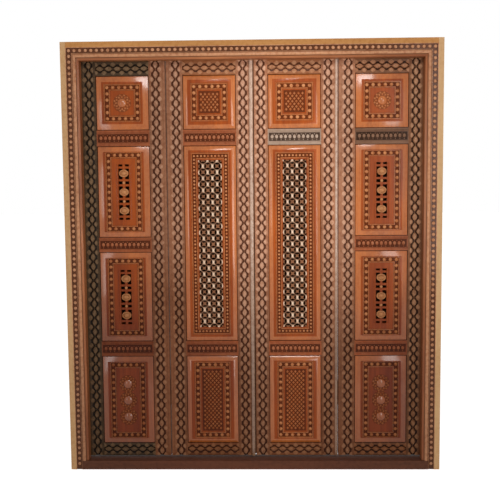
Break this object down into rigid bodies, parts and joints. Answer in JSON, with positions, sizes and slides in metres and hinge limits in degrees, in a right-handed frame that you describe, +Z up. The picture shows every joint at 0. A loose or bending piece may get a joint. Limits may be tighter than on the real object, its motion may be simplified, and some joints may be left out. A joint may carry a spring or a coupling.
{
  "type": "carved folding door",
  "caption": "Carved wooden folding door in its own frame: leaves hinged in pairs, with pierced and lattice panels.",
  "frame": {"origin": "middle of the sill's underside, half way through the frame's depth", "axes": "+X to the right as the carved side is seen, the carved side faces -Y, +Z up"},
  "size_m": [1.86, 0.118, 2.134],
  "materials": {
    "carved_wood": "oiled",
    "pale_wood": "bare",
    "plain_wood": "oiled",
    "hinge_iron": "forged"
  },
  "bodies": {
    "frame": {"frame_head": "carved_wood", "frame_jamb_left": "carved_wood", "frame_jamb_right": "carved_wood", "frame_sill": "plain_wood", "outer_strip_top": "pale_wood", "outer_strip_left": "pale_wood", "outer_strip_right": "pale_wood", "jamb_hinge_pins_left": "hinge_iron", "jamb_hinge_pins_right": "hinge_iron"},
    "outer_leaf_left": {"outer_hinge_stile_left": "carved_wood", "outer_fold_stile_left": "carved_wood", "outer_top_rail_left": "carved_wood", "outer_frieze_rail_left": "carved_wood", "outer_middle_rail_left": "carved_wood", "outer_lock_rail_left": "carved_wood", "outer_bottom_rail_left": "carved_wood", "outer_top_panel_left": "carved_wood", "outer_upper_pierced_panel_left": "carved_wood", "outer_lower_pierced_panel_left": "carved_wood", "outer_bottom_panel_left": "carved_wood", "outer_back_boards_left": "plain_wood", "jamb_hinge_eyes_left": "hinge_iron", "fold_hinge_pins_left": "hinge_iron"},
    "inner_leaf_left": {"inner_fold_stile_left": "carved_wood", "meeting_stile_left": "carved_wood", "inner_top_rail_left": "carved_wood", "inner_frieze_rail_left": "carved_wood", "inner_lock_rail_left": "carved_wood", "inner_bottom_rail_left": "carved_wood", "inner_top_panel_left": "carved_wood", "inner_tall_lattice_panel_left": "carved_wood", "inner_bottom_panel_left": "carved_wood", "inner_back_board_left": "plain_wood", "fold_hinge_eyes_left": "hinge_iron"},
    "outer_leaf_right": {"outer_hinge_stile_right": "carved_wood", "outer_fold_stile_right": "carved_wood", "outer_top_rail_right": "carved_wood", "outer_frieze_rail_right": "carved_wood", "outer_middle_rail_right": "carved_wood", "outer_lock_rail_right": "carved_wood", "outer_bottom_rail_right": "carved_wood", "outer_top_panel_right": "carved_wood", "outer_upper_pierced_panel_right": "carved_wood", "outer_lower_pierced_panel_right": "carved_wood", "outer_bottom_panel_right": "carved_wood", "outer_back_boards_right": "plain_wood", "jamb_hinge_eyes_right": "hinge_iron", "fold_hinge_pins_right": "hinge_iron"},
    "inner_leaf_right": {"inner_fold_stile_right": "carved_wood", "meeting_stile_right": "carved_wood", "inner_top_rail_right": "carved_wood", "inner_frieze_rail_right": "carved_wood", "inner_lock_rail_right": "carved_wood", "inner_bottom_rail_right": "carved_wood", "inner_top_panel_right": "carved_wood", "inner_tall_lattice_panel_right": "carved_wood", "inner_bottom_panel_right": "carved_wood", "inner_back_board_right": "plain_wood", "fold_hinge_eyes_right": "hinge_iron"}
  },
  "joints": [
    {"name": "jamb_hinges_left", "type": "hinge", "parent": "frame", "child": "outer_leaf_left", "pos_m": [-0.8505, 0.06, 1.05], "axis": [0, 0, 1], "range_deg": [0, 90]},
    {"name": "fold_hinges_left", "type": "hinge", "parent": "outer_leaf_left", "child": "inner_leaf_left", "pos_m": [-0.4255, 0.06, 1.05], "axis": [0, 0, 1], "range_deg": [0, 175]},
    {"name": "jamb_hinges_right", "type": "hinge", "parent": "frame", "child": "outer_leaf_right", "pos_m": [0.8505, 0.06, 1.05], "axis": [0, 0, -1], "range_deg": [0, 90]},
    {"name": "fold_hinges_right", "type": "hinge", "parent": "outer_leaf_right", "child": "inner_leaf_right", "pos_m": [0.4255, 0.06, 1.05], "axis": [0, 0, -1], "range_deg": [0, 175]}
  ]
}
